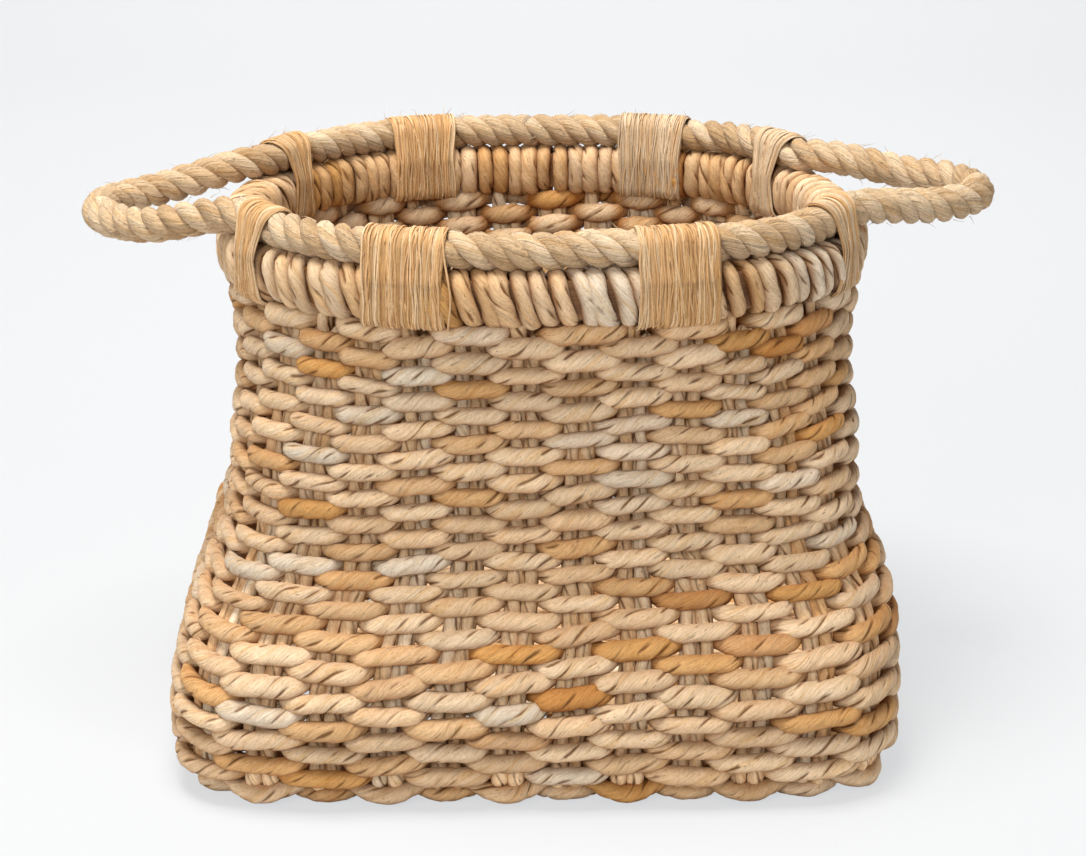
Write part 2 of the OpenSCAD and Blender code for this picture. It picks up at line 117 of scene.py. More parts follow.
def settled(points):
    """Turns the woven body from the rim down to the foot, and shifts it aside and forward low down."""
    x, y, z = points[:, 0], points[:, 1], points[:, 2]
    a = math.radians(FOOT_TURN) * np.clip(1 - z / RIM_Z, 0, 1)
    low = np.clip((ASKEW_TOP - z) / ASKEW_FADE, 0, 1)
    low = low * low * (3 - 2 * low)
    forward = FOOT_FORWARD * low * np.clip(-y / (FOOT_D / 2), 0, 1)
    return np.stack([x * np.cos(a) - y * np.sin(a) - ASKEW * low,
                     x * np.sin(a) + y * np.cos(a) - forward, z], -1)


def way_round(z):
    """Polar angles once round the wall at height z, and the distance travelled at each."""
    t = np.linspace(0, TURN, 721)
    p = wall(t, z)[0]
    s = np.concatenate([[0], np.cumsum(np.linalg.norm(np.diff(p, axis=0), axis=1))])
    return t, s


WALL_T, WALL_S = way_round((WIDEST_Z + WAIST_Z) / 2)
RIM_T, RIM_S = way_round(RIM_MID_Z)


def angle_at(u):
    """Polar angle at u stake spacings from the middle of the right side."""
    u = np.asarray(u, float)
    turns = np.floor(u / STAKES)
    return np.interp((u / STAKES - turns) * WALL_S[-1], WALL_S, WALL_T) + TURN * turns


def rim_angle(share):
    """Polar angle at a share of the way round the rim."""
    share = np.asarray(share, float)
    turns = np.floor(share)
    return np.interp((share - turns) * RIM_S[-1], RIM_S, RIM_T) + TURN * turns


# ---- Cords ------------------------------------------------------------------
def unit(v):
    return v / np.maximum(np.linalg.norm(v, axis=-1, keepdims=True), 1e-9)


def travel(points, closed):
    """Distance along a line of points, with the whole length last where it is closed."""
    ends = np.vstack([points, points[:1]]) if closed else points
    return np.concatenate([[0], np.cumsum(np.linalg.norm(np.diff(ends, axis=0), axis=1))])


def tangents(points, closed):
    if closed:
        return unit(np.roll(points, -1, 0) - np.roll(points, 1, 0))
    return unit(np.gradient(points, axis=0))


def frame_along(line, out, closed=False):
    """Square axes round a line: up stands across both the line and out."""
    t = tangents(line, closed)
    out = unit(out - t * np.sum(out * t, -1, keepdims=True))
    return np.cross(out, t), out


def rings(line, up, out, high, thick):
    """Rings of points round a line: each point high along up and thick along out."""
    return line[:, None, :] + high[..., None] * up[:, None, :] + thick[..., None] * out[:, None, :]


def evenly(points, step, closed=False):
    """The same line with its points about step apart, and the old index of each new point."""
    s = travel(points, closed)
    n = max(4, int(round(s[-1] / step)))
    at = np.linspace(0, s[-1], n + 1)[:-1] if closed else np.linspace(0, s[-1], n + 1)
    ends = np.vstack([points, points[:1]]) if closed else points
    index = np.interp(at, s, np.arange(len(s)))
    return np.stack([np.interp(at, s, ends[:, k]) for k in range(3)], -1), index


def wander(rng, s, whole, wave, closed=True):
    """A smooth line about 0 and mostly within 1, that drifts over about wave millimetres."""
    out = np.zeros_like(s, dtype=float)
    for k in (0.6, 1.0, 1.7, 2.6):
        turns = whole * k / wave
        if closed:
            turns = max(1, round(turns))
        out += np.sin(TURN * turns * s / whole + rng.uniform(0, TURN)) * rng.uniform(0.5, 1)
    return out / 1.9


class Cords:
    """Gathers the tubes of one piece, with what its finish needs to know at each point."""

    def __init__(self):
        self.points, self.faces, self.cord, self.tint, self.crease = [], [], [], [], []
        self.count = 0

    def add(self, ring, s, phase, radius, tint, crease, closed):
        """ring is n x m x 3 points. phase is each point's angle in the untwisted cord.
        tint is a colour for each ring, or for each point of each ring."""
        n, m = ring.shape[:2]
        first, self.count = self.count, self.count + n * m
        a = np.arange(n if closed else n - 1)[:, None] * m
        b = (np.arange(1, n + 1) % n if closed else np.arange(1, n))[:, None] * m
        k, j = np.arange(m)[None, :], (np.arange(m)[None, :] + 1) % m
        quads = np.stack([a + k, a + j, b + j, b + k], -1).reshape(-1, 4) + first
        self.points.append(ring.reshape(-1, 3))
        self.faces.append(quads)
        if not closed:
            self.cap(ring[0].mean(0), first, m, True)
            self.cap(ring[-1].mean(0), first + (n - 1) * m, m, False)
        offset = 400.0 * (len(self.cord) % 977)
        along = np.broadcast_to((s + offset)[:, None], (n, m))
        turn = np.broadcast_to(phase, (n, m))
        rest = np.stack([along, radius * np.cos(turn), radius * np.sin(turn)], -1).reshape(-1, 3)
        shade = np.broadcast_to(tint.reshape(n, -1, 3), (n, m, 3)).reshape(-1, 3)
        fold = np.broadcast_to(crease, (n, m)).reshape(-1)
        if not closed:
            rest = np.vstack([rest, [rest[0] * [1, 0, 0]], [rest[-1] * [1, 0, 0]]])
            shade = np.vstack([shade, shade[:1], shade[-1:]])
            fold = np.concatenate([fold, [0, 0]])
        self.cord.append(rest)
        self.tint.append(shade)
        self.crease.append(fold)

    def cap(self, middle, start, m, first):
        """Closes an end with a fan of triangles round one more point."""
        centre, self.count = self.count, self.count + 1
        self.points.append(middle[None, :])
        k = np.arange(m)
        j = (k + 1) % m
        a, b = (start + k, start + j) if first else (start + j, start + k)
        self.faces.append(np.stack([a, np.full(m, centre), b], -1))

    def build(self, name, material, slot, *nodes):
        mesh = bpy.data.meshes.new(name)
        loops = np.concatenate([f.reshape(-1) for f in self.faces])
        sizes = np.concatenate([np.full(len(f), f.shape[1]) for f in self.faces])
        points = settled(np.vstack(self.points)) * MM
        mesh.vertices.add(len(points))
        mesh.vertices.foreach_set("co", points.astype(np.float32).reshape(-1))
        mesh.loops.add(len(loops))
        mesh.loops.foreach_set("vertex_index", loops.astype(np.int32))
        mesh.polygons.add(len(sizes))
        starts = np.concatenate([[0], np.cumsum(sizes)[:-1]])
        mesh.polygons.foreach_set("loop_start", starts.astype(np.int32))
        mesh.polygons.foreach_set("use_smooth", np.ones(len(sizes), bool))
        mesh.update(calc_edges=True)
        mesh.validate()
        rest = mesh.attributes.new("cord", "FLOAT_VECTOR", "POINT")
        rest.data.foreach_set("vector", (np.vstack(self.cord) * MM).astype(np.float32).reshape(-1))
        tint = mesh.attributes.new("tint", "FLOAT_COLOR", "POINT")
        shade = np.vstack(self.tint)
        shade = np.hstack([shade, np.ones((len(shade), 1))])
        tint.data.foreach_set("color", shade.astype(np.float32).reshape(-1))
        fold = mesh.attributes.new("crease", "FLOAT", "POINT")
        fold.data.foreach_set("value", np.concatenate(self.crease).astype(np.float32))
        mesh.materials.append(material)
        piece = bpy.data.objects.new(name, mesh)
        bpy.context.scene.collection.objects.link(piece)
        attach(piece, "root")
        if nodes:
            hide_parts(*nodes)
        return piece


# Creases of a bark cord: where each runs round it, how deep it mostly is, and how wide
CREASE_TURNS, CREASE_DEPTHS, CREASE_WIDTH = (0.0, 2.1, 4.0), (0.55, 0.1, 0.2), 0.22
# Points round a bark cord, closer together where its creases run
BARK_TURN = np.array([-0.24, 0.0, 0.24, 0.6, 1.05, 1.5, 1.86, 2.1, 2.34, 2.75, 3.25, 3.76, 4.0, 4.24,
                      4.65, 5.15, 5.65])


def crease_shape(turn, middle, width):
    gap = np.abs((turn - middle + math.pi) % TURN - math.pi)
    return np.exp(-((gap / width) ** 2))


def bark_cord(cords, rng, points, up, out, high, thick, tint, closed, lay,
              fold=0.16, taper=0, edge_shade_depth=0.9, least=0.0):
    """A cord twisted from one strip of bark, high along up and thick along out, one turn in each lay.
    fold is the depth of its creases, least the smallest share of it, and edge_shade_depth how dark
    its edges are painted above and below, as painted shade. taper is the length over which an end gets
    thinner."""
    s = travel(points, closed)
    whole = s[-1]
    s = s[:-1] if closed else s
    turns = whole / lay
    if closed:
        turns = round(turns)
    twist = TURN * turns * s / whole + 0.5 * wander(rng, s, whole, 70, closed) + rng.uniform(0, TURN)
    phase = BARK_TURN[None, :]
    a = phase - twist[:, None]
    notch = np.zeros((len(s), len(BARK_TURN)))
    for middle, usual in zip(CREASE_TURNS, CREASE_DEPTHS):
        deep = fold * np.clip(usual + 1.3 * wander(rng, s, whole, 38, closed), least, 1.7)
        notch += deep[:, None] * crease_shape(phase, middle, CREASE_WIDTH)
    swell = 1 + 0.035 * wander(rng, s, whole, 24, closed)
    # The strip laps over itself, so the cord is fuller on one side of its crease
    lap = 1 + 0.05 * np.cos(phase - 0.9) + 0.03 * np.cos(3 * phase + rng.uniform(0, TURN))
    r = swell[:, None] * lap * (1 - notch)
    if taper:
        r = r * np.minimum(1, 0.35 + np.minimum(s, whole - s) / taper)[:, None]
    ring = rings(points, up, out, r * np.cos(a) * np.reshape(high, (-1, 1)) / 2,
                 r * np.sin(a) * np.reshape(thick, (-1, 1)) / 2)
    # Painted shade: along its edges, where neighbours lie close, the colour is darkened towards brown,
    # most of all below
    edge = np.cos(a)
    painted_edge_shade = (edge_shade_depth * np.where(edge < 0, 1.0, 0.45) * np.abs(edge) ** 2.3)[..., None]
    cords.add(ring, s, phase, np.mean(high) / 2, tint[:, None, :] * (1 - painted_edge_shade * (1 - EDGE_SHADE_COLOUR)),
              notch / max(fold, 1e-6), closed)


# ---- Colours ----------------------------------------------------------------
def linear(code):
    """Linear colour of an sRGB hex value."""
    c = np.array([int(code[k:k + 2], 16) for k in (1, 3, 5)]) / 255
    return np.where(c <= 0.04045, c / 12.92, ((c + 0.055) / 1.055) ** 2.4)


# Dried bark runs from cream through tan to an orange brown, and bleached strips are nearly white
BARK_COLOURS = [linear(c) for c in ("#EDD1AE", "#E6C59F", "#DDB688", "#D6A262", "#C68C4C", "#E8D8C2")]
# Brown that a weaver is darkened towards, as painted shade where it passes behind a stake
BEHIND_STAKE_SHADE = np.array([0.62, 0.43, 0.25])
# Brown that a cord's edges are darkened towards, as painted shade where its neighbours lie close
EDGE_SHADE_COLOUR = np.array([0.36, 0.18, 0.06])
BARK_SHARES = [0.38, 0.27, 0.14, 0.10, 0.02, 0.09]
ROPE_COLOURS = [linear(c) for c in ("#D3B896", "#BB9B74", "#DAC3A4")]
LASHING_COLOURS = [linear(c) for c in ("#D9B080", "#CDA371", "#DFC098", "#C69A66")]
PALE_LASHING = [linear(c) for c in ("#D9C2A4", "#CCB292", "#D2B088")]


def bark_shade(rng, shares=BARK_SHARES):
    """Colour of one strip: one of the bark's colours, a little towards another, lighter or darker."""
    a, b = rng.choice(len(BARK_COLOURS), 2, p=shares)
    mix = rng.uniform(0, 0.35)
    return (BARK_COLOURS[a] * (1 - mix) + BARK_COLOURS[b] * mix) * rng.uniform(0.88, 1.08)


def shaded_behind_stake(tint, far, reach):
    """Darkens a colour towards brown where far comes near reach: painted shade where a cord passes behind
    a stake.
    """
    share = np.exp(-((far - reach) / 0.12) ** 2)[:, None]
    return tint * (1 - share * (1 - BEHIND_STAKE_SHADE))


def shades_along(rng, s, whole, length, closed, shares=BARK_SHARES):
    """Strips joined end to end, each about length long, blended where they meet."""
    n = max(2, round(whole / length))
    colours = np.array([bark_shade(rng, shares) for _ in range(n)])
    at = s / whole * n
    k = np.floor(at).astype(int) % n
    blend = np.clip((at - np.floor(at) - 0.8) / 0.2, 0, 1)[:, None]
    following = (k + 1) % n if closed else np.minimum(k + 1, n - 1)
    return colours[k] * (1 - blend) + colours[following] * blend


# ---- Finishes ---------------------------------------------------------------
def node(tree, kind, inputs=(), **settings):
    """Adds a node with its settings, and sets each of its inputs to a value or links it."""
    made = tree.nodes.new(kind)
    for name, value in settings.items():
        setattr(made, name, value)
    for key, value in dict(inputs).items():
        if isinstance(value, bpy.types.NodeSocket):
            tree.links.new(value, made.inputs[key])
        else:
            made.inputs[key].default_value = value
    return made


def finish(name):
    material = bpy.data.materials.new(name)
    material.use_nodes = True
    material.node_tree.nodes.clear()
    return material, material.node_tree


def ramp(tree, value, stops):
    made = node(tree, "ShaderNodeValToRGB", {"Fac": value})
    for k, (at, colour) in enumerate(stops):
        stop = made.color_ramp.elements[k] if k < 2 else made.color_ramp.elements.new(at)
        stop.position = at
        stop.color = (*colour, 1)
    return made.outputs["Color"]


def grey(v):
    return (v, v, v)


def stretched_noise(tree, place, scale, detail, roughness=0.5):
    """Noise over a place with each of its axes scaled on its own."""
    scaled = node(tree, "ShaderNodeVectorMath", {0: place, 1: scale}, operation="MULTIPLY")
    return node(tree, "ShaderNodeTexNoise", {"Vector": scaled.outputs["Vector"], "Scale": 1.0,
                                             "Detail": detail, "Roughness": roughness}).outputs["Fac"]


def layered(tree, factor, below, above, blend="MIX"):
    """Colour of one layer over another."""
    return node(tree, "ShaderNodeMix", {"Factor": factor, "A": below, "B": above},
                data_type="RGBA", blend_type=blend).outputs["Result"]


def fibrous(name, strip_mm, streak, fold_colour, roughness, relief_mm, fleck, sheen):
    """Twisted plant fibre: streaks strip_mm wide run along the untwisted cord, so they wind with it."""
    material, tree = finish(name)
    cord = node(tree, "ShaderNodeAttribute", attribute_name="cord").outputs["Vector"]
    tint = node(tree, "ShaderNodeAttribute", attribute_name="tint").outputs["Color"]
    fold = node(tree, "ShaderNodeAttribute", attribute_name="crease").outputs["Fac"]
    across = 1000 / strip_mm
    fibres = stretched_noise(tree, cord, (across / 18, across, across), 3.0, 0.6)
    streaks = ramp(tree, fibres,
                   [(0.28, grey(1 - streak)), (0.72, grey(1 + streak * 0.45)), (0.5, grey(1.0))])
    body = layered(tree, 1.0, tint, streaks, "MULTIPLY")
    # Patches where the strip is browner, a few centimetres long
    patches = stretched_noise(tree, cord, (28, 190, 190), 2.0)
    patch = ramp(tree, patches, [(0.5, grey(1.0)), (0.68, (0.93, 0.84, 0.70))])
    worn = layered(tree, 1.0, body, patch, "MULTIPLY")
    # Papery mottling, a millimetre or two across
    paper = stretched_noise(tree, cord, (420, 620, 620), 4.0, 0.7)
    blotch = ramp(tree, paper, [(0.34, (0.86, 0.80, 0.72)), (0.62, grey(1.06)), (0.5, grey(1.0))])
    worn = layered(tree, 1.0, worn, blotch, "MULTIPLY")
    # Small dark flecks of stem left in the fibre
    flecks = stretched_noise(tree, cord, (330, 900, 900), 1.0)
    speck = ramp(tree, flecks, [(0.70, grey(0.0)), (0.78, grey(fleck))])
    flecked = layered(tree, speck, worn, (*linear("#6B4A2A"), 1))
    # The crease where the strip's edge turns in holds dust and shade
    depth = ramp(tree, fold, [(0.25, grey(0.0)), (1.0, grey(0.85))])
    folded = layered(tree, depth, flecked, (*fold_colour, 1))
    relief = node(tree, "ShaderNodeMath", {0: fibres, 1: paper}, operation="ADD")
    bump = node(tree, "ShaderNodeBump",
                {"Height": relief.outputs["Value"], "Strength": 0.9, "Distance": relief_mm * MM})
    surface = node(tree, "ShaderNodeBsdfPrincipled",
                   {"Base Color": folded, "Roughness": roughness, "Normal": bump.outputs["Normal"],
                    "Sheen Weight": sheen, "Sheen Roughness": 0.5, "Specular IOR Level": 0.25})
    node(tree, "ShaderNodeOutputMaterial", {"Surface": surface.outputs["BSDF"]})
    return material


# Banana bark, split, dried and twisted by hand: matt, papery, with fine lengthwise fibres
TWISTED_BARK = fibrous("twisted_dried_bark", 1.3, 0.24, linear("#6E4218"), 0.78, 1.0, 0.8, 0.0)
# Abaca laid in three strands: fine pale fibres and a soft bloom of loose hairs
LAID_ABACA = fibrous("laid_abaca_rope", 0.8, 0.62, linear("#7D5C36"), 0.8, 1.0, 0.5, 0.12)
# Raffia, drawn into fine strands: golden, with a slight silk along the fibre
COMBED_RAFFIA = fibrous("combed_raffia", 0.7, 0.22, linear("#8A6334"), 0.55, 0.3, 0.2, 0.05)


def shaded_split_cane():
    """Rattan split and planed flat: dense fine grain along the hoop, slightly smooth. Its brown is painted
    dark, as shade where the hoops show in the gaps between the wrapping's turns.
    """
    material, tree = finish("split_rattan_cane_painted_shade")
    place = node(tree, "ShaderNodeTexCoord").outputs["Object"]
    grain = stretched_noise(tree, place, (30, 30, 900), 3.0)
    # Painted shade: the browns are dark, for where the hoops show between the wrapping's turns
    colour = ramp(tree, grain, [(0.3, linear("#6B4423")), (0.7, linear("#8F6335"))])
    bump = node(tree, "ShaderNodeBump", {"Height": grain, "Strength": 0.5, "Distance": 0.2 * MM})
    surface = node(tree, "ShaderNodeBsdfPrincipled",
                   {"Base Color": colour, "Roughness": 0.5, "Normal": bump.outputs["Normal"]})
    node(tree, "ShaderNodeOutputMaterial", {"Surface": surface.outputs["BSDF"]})
    return material


SHADED_CANE = shaded_split_cane()
for hoop in ("outer_rim_hoop", "inner_rim_hoop"):
    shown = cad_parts[hoop]
    shown.data.materials.clear()
    shown.data.materials.append(SHADED_CANE)


# ---- Wall courses -----------------------------------------------------------
COURSES = sorted(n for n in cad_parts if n.startswith("wall_course_"))
COURSES_TOP = RIM_Z - LASHING_T - 2 * SEAT
COURSE_STEP = 2.6
FLOATS = STAKES // 2
# Half a float's length, in stake spacings, and how softly its ends dip behind the next stakes
FLOAT_REACH, DIP = 0.67, 0.11
# A course's cord: its least height and thickness, and what each gains in front and inside
CORD_HIGH, HIGH_IN_FRONT, HIGH_INSIDE = 10.3, 1.9, 2.4
CORD_THICK, THICK_IN_FRONT, THICK_INSIDE = 7.6, 2.2, 1.6
# How far the last course is pushed up, and how much fuller the last three lie
PUSHED_UP, FULL_AT_TOP = 1.2, 1.8
COLUMN_TILT = np.random.default_rng(77).normal(0, 0.45, STAKES)


def hand_slope(angle, z):
    """Rows beaten down by hand don't lie quite level: they climb a little to the right in front."""
    share = np.clip((z - 30) / (RIM_Z - 30), 0, 1)
    return 5.0 * np.sin(math.pi * share) ** 1.2 * np.cos(angle)


def longer_inside(angle):
    """In the rear wall the cord shows as long inside as outside: what each end of a float gives up."""
    return 0.19 * np.clip(2 * np.sin(angle), 0, 1)


def weave_course(k, name):
    """One cord over a stake and under the next, full in front and inside, and squeezed in between."""
    rng = np.random.default_rng(1000 + k)
    z0 = COURSES_TOP - (len(COURSES) - k - 0.5) * COURSE_PITCH
    u = np.linspace(0, STAKES, STAKES * 40, endpoint=False)
    tilt = rng.normal(0.2, 0.55, FLOATS) + COLUMN_TILT[k % 2::2]
    proud = rng.normal(0.4, 0.45, FLOATS)
    fat = rng.normal(1, 0.45, FLOATS)
    reach = rng.normal(FLOAT_REACH, 0.03, FLOATS)
    lift = rng.normal(0, 0.35, FLOATS)

    def place(u):
        """Float number and distance from its stake, in stake spacings, to the left and right."""
        v = u - 0.5 + k % 2
        number = np.floor((v + 1) / 2).astype(int)
        return number % FLOATS, v - 2 * number

    number, beside = place(u)
    far = np.abs(beside)
    in_front = np.clip(1 - (far / 0.66) ** 2, 0, 1)
    angle = angle_at(u)
    rear = longer_inside(angle)
    z = z0 + hand_slope(angle, z0) + tilt[number] * np.sin(math.pi * beside) + lift[number] * in_front
    z = z + 0.4 * np.sin(TURN * u / 7.3 + rng.uniform(0, TURN))
    z = z + max(0, k - len(COURSES) + 2) * PUSHED_UP
    off = (DEPTH + 0.3) * np.tanh((reach[number] - rear - far) / DIP) + proud[number] * in_front
    p, n = wall(angle, z)
    line, index = evenly(p + n * off[:, None], COURSE_STEP, True)
    at = index / len(u) * STAKES
    up, out = frame_along(line, wall(angle_at(at), z0)[1], True)
    number, beside = place(at)
    rear = longer_inside(angle_at(at))
    full = 0.5 - 0.5 * np.tanh((np.abs(beside) - 0.48) / DIP)
    inside = 0.5 + 0.5 * np.tanh((np.abs(beside) - 0.76) / 0.07)
    grown = 1.06 - 0.08 * k / len(COURSES) + 0.3 * rear
    high = (CORD_HIGH + HIGH_IN_FRONT * full * fat[number] + HIGH_INSIDE * inside) * grown
    high = high + FULL_AT_TOP * (k > len(COURSES) - 4)
    thick = CORD_THICK + THICK_IN_FRONT * full + THICK_INSIDE * inside
    # Each float is its own stretch of strip, and the colour changes behind a stake. Where the cord
    #     passes behind a stake it is painted a darker brown, as painted shade.
    colours = np.array([bark_shade(rng) for _ in range(FLOATS)])
    strip = np.floor((at - 0.5 + k % 2 + 0.7 - rear) / 2).astype(int) % FLOATS
    tint = shaded_behind_stake(colours[strip], np.abs(beside), 0.74 - rear)
    cords = Cords()
    bark_cord(cords, rng, line, up, out, high, thick, tint, True, lay=44 + rng.uniform(-5, 5))
    cords.build(name.replace("wall_course", "bark_weaver"), TWISTED_BARK, "bark_cord", name)


for number, course in enumerate(COURSES):
    weave_course(number, course)


# ---- Stakes and strands -----------------------------------------------------
def stake_line(angle, beside, side, inward, crossing, over, top):
    """Half of a strand's cord: down the wall, round the bend and to the middle of the base."""
    z = np.linspace(top, WIDEST_Z, 90)
    line, out = wall(np.full_like(z, angle), z)
    p = line[-1]
    bend = np.radians(np.linspace(6, 90, 14))[:, None]
    turn = p + BEND_R * ((1 - np.cos(bend)) * inward - np.sin(bend) * np.array([0, 0, 1]))
    turn_out = -np.cos(bend) * inward - np.sin(bend) * np.array([0, 0, 1])
    rest = np.linspace(0.04, 1, 40)[:, None]
    end = turn[-1] + (crossing - turn[-1]) * rest
    end[:, 2] += (over - MAT_Z) * np.minimum(1, rest[:, 0] * 5)
    flat = np.broadcast_to(np.array([0, 0, -1.0]), end.shape)
    sideways = np.vstack([np.stack([out[:, 1], -out[:, 0], 0 * out[:, 0]], -1),
                          np.broadcast_to(side, turn.shape), np.broadcast_to(side, end.shape)])
    path = np.vstack([line, turn, end])
    return path + sideways * beside, np.vstack([out, turn_out, flat])


# The stakes are split from the palest inner bark, and their colour is lifted further as painted light,
# against the shade in the gaps between the floats
STAKE_PAINTED_LIGHT = np.array([1.18, 1.14, 1.06])
STAKE_SHARES = [0.50, 0.24, 0.06, 0.02, 0.0, 0.18]
# The two cords of a stake lie a little further apart than its bar's halves, and are fuller
TWIN_APART = STAKE_W / 4 + 1.0
TWIN_HIGH, TWIN_THICK = STAKE_W / 2 + 3.0, STAKE_T + 1.8


def twin_cords(cords, rng, half, mirror_axis, tops):
    """Two twisted cords side by side, up one wall, across the base and up the other."""
    for beside, top in zip((-TWIN_APART, TWIN_APART), tops):
        line, out = half(beside, top)
        if mirror_axis is not None:
            flip = np.ones(3)
            flip[mirror_axis] = -1
            line = np.vstack([line, (line * flip)[-2::-1]])
            out = np.vstack([out, (out * flip)[-2::-1]])
        line, index = evenly(line, 4.2)
        k = np.arange(len(out))
        out = unit(np.stack([np.interp(index, k, out[:, c]) for c in range(3)], -1))
        up, out = frame_along(line, out)
        s = travel(line, False)
        # Painted light: the stake's colour is lifted to make up for the shade in the gaps between the
        # floats
        tint = STAKE_PAINTED_LIGHT * shades_along(rng, s, s[-1], 240, False, STAKE_SHARES)
        bark_cord(cords, rng, line, up, out, TWIN_HIGH, TWIN_THICK, tint, False, lay=150, fold=0.2,
                  taper=2, edge_shade_depth=0.25, least=0.8)


def stake_angle(i):
    return float(angle_at(i + 0.5))


RIGHT, FORWARD, LEFT = np.array([1.0, 0, 0]), np.array([0, -1.0, 0]), np.array([-1.0, 0, 0])


def strands():
    front_back, across, corners = Cords(), Cords(), Cords()
    for k in range(LONG_STAKES // 2):
        for mirrored in (1, -1):
            rng = np.random.default_rng(200 + 2 * k + (mirrored > 0))
            angle = stake_angle(CORNER + 1 + k)
            angle = angle if mirrored > 0 else math.pi - angle
            foot = wall(np.array([angle]), WIDEST_Z)[0][0]
            middle = np.array([foot[0], 0, MAT_Z])

            def half(beside, top):
                return stake_line(angle, beside, RIGHT, FORWARD, middle, MAT_Z, top)
            twin_cords(front_back, rng, half, 1, (STAKE_TOP, CUT_Z))
    for k in range(SHORT_STAKES // 2):
        for mirrored in (1, -1):
            rng = np.random.default_rng(300 + 2 * k + (mirrored > 0))
            angle = mirrored * stake_angle(k)
            foot = wall(np.array([angle]), WIDEST_Z)[0][0]
            over = MAT_Z + STAKE_T + SEAT
            middle = np.array([0, foot[1], MAT_Z])

            def half(beside, top):
                return stake_line(angle, beside, FORWARD, LEFT, middle, over, top)
            twin_cords(across, rng, half, 0, (STAKE_TOP, CUT_Z))
    for k in range(4):
        rng = np.random.default_rng(400 + k)
        t = stake_angle(CORNER)
        angle = (t, math.pi - t, math.pi + t, -t)[k]
        inward = -np.array([math.cos(angle), math.sin(angle), 0])
        side = np.array([-inward[1], inward[0], 0])
        foot = wall(np.array([angle]), WIDEST_Z)[0][0]
        end = np.array([*(foot + inward * (BEND_R + 3))[:2], MAT_Z])

        def half(beside, top):
            return stake_line(angle, beside, side, inward, end, MAT_Z, top)
        twin_cords(corners, rng, half, None, (STAKE_TOP, CUT_Z))
    front_back.build("front_back_stake_cords", TWISTED_BARK, "bark_cord", "front_back_strands")
    across.build("side_to_side_stake_cords", TWISTED_BARK, "bark_cord", "side_to_side_strands")
    corners.build("corner_stake_cords", TWISTED_BARK, "bark_cord", "corner_stakes")


strands()


# ---- Base mat ---------------------------------------------------------------
# How far the mat stays off the short and the long walls, before the foot is drawn in
MAT_OFF_ENDS, MAT_OFF_SIDES = 24, 18.5


def stake_places(first, count, axis):
    """Where count stakes from the first on stand along an axis, at the foot."""
    return [float(wall(np.array([stake_angle(first + k)]), WIDEST_Z)[0][0][axis]) for k in range(count)]


def base_mat():
    a, b = (float(v) for v in half_axes(WIDEST_Z)[:2])
    # The tucked foot draws the rows together, and the squarer one takes room from the outer rows, so
    # the mat reaches nearer the long walls and still holds the part's 30 cords
    drawn_in = b / (b - float(hand_bulge(WIDEST_Z)))
    a, b = a - MAT_OFF_ENDS * drawn_in, b - MAT_OFF_SIDES * drawn_in
    wave = (STAKE_T + BASE_CORD_D) / 2 + SEAT
    rows_y = stake_places(0, CORNER, 1)
    edges = [b] + [e for y in rows_y[::-1] for e in (y + STAKE_W / 2, y - STAKE_W / 2)]
    gaps = [(edges[k + 1], edges[k]) for k in range(0, len(edges) - 1, 2)] + [(0, edges[-1])]
    rows = []
    for low, high in gaps:
        n = int((high - low) // ((BASE_CORD_D + SEAT) * drawn_in))
        rows += [low + (high - low) / n * (k + 0.5) for k in range(n)] if n else []
    cross = stake_places(CORNER + 1, LONG_STAKES // 2, 0)
    cross = [-x for x in cross] + cross[::-1]
    cords = Cords()
    for k, y in enumerate(rows):
        for s in (-1, 1):
            rng = np.random.default_rng(500 + 2 * k + (s > 0))
            reach = a * (1 - (y / (b + SEAT)) ** FOOT_SQUARE) ** (1 / FOOT_SQUARE)
            # A row stops short of a stake that stands where it would end
            reach = min([reach] + [x - STAKE_W / 2 - 2 * SEAT for x in cross
                                   if abs(x - reach) < 0.75 * STAKE_W])
            parity = k if s > 0 else k + 1
            xs, zs = [-reach], [0.0]
            for c, x in enumerate(cross):
                if abs(x) < reach - STAKE_T:
                    xs.append(x)
                    zs.append(wave if (c + parity) % 2 == 0 else -wave)
            xs.append(reach)
            zs.append(0.0)
            x = np.linspace(-reach, reach, 260)
            share = np.interp(x, xs, np.arange(len(xs)))
            i = np.minimum(np.floor(share).astype(int), len(xs) - 2)
            ease = 0.5 - 0.5 * np.cos(math.pi * (share - i))
            z = np.array(zs)[i] * (1 - ease) + np.array(zs)[i + 1] * ease
            line = np.stack([x, np.full_like(x, s * y), MAT_Z + z], -1)
            line, _ = evenly(line, 3.5)
            up, out = frame_along(line, np.broadcast_to(np.array([0, s * 1.0, 0]), line.shape))
            dist = travel(line, False)
            tint = shades_along(rng, dist, dist[-1], 160, False)
            bark_cord(cords, rng, line, up, out, BASE_CORD_D, BASE_CORD_D + 0.6, tint, False,
                      lay=30, taper=2)
    cords.build("base_mat_weave", TWISTED_BARK, "bark_cord", "base_mat_cords")


base_mat()


# ---- Foot courses -----------------------------------------------------------
def bend_pass(degrees):
    """Inward and up, where a cord lies outside the bend of a stake."""
    a = math.radians(degrees)
    return [BEND_R - (BEND_R + DEPTH) * math.cos(a), WIDEST_Z - (BEND_R + DEPTH) * math.sin(a)]


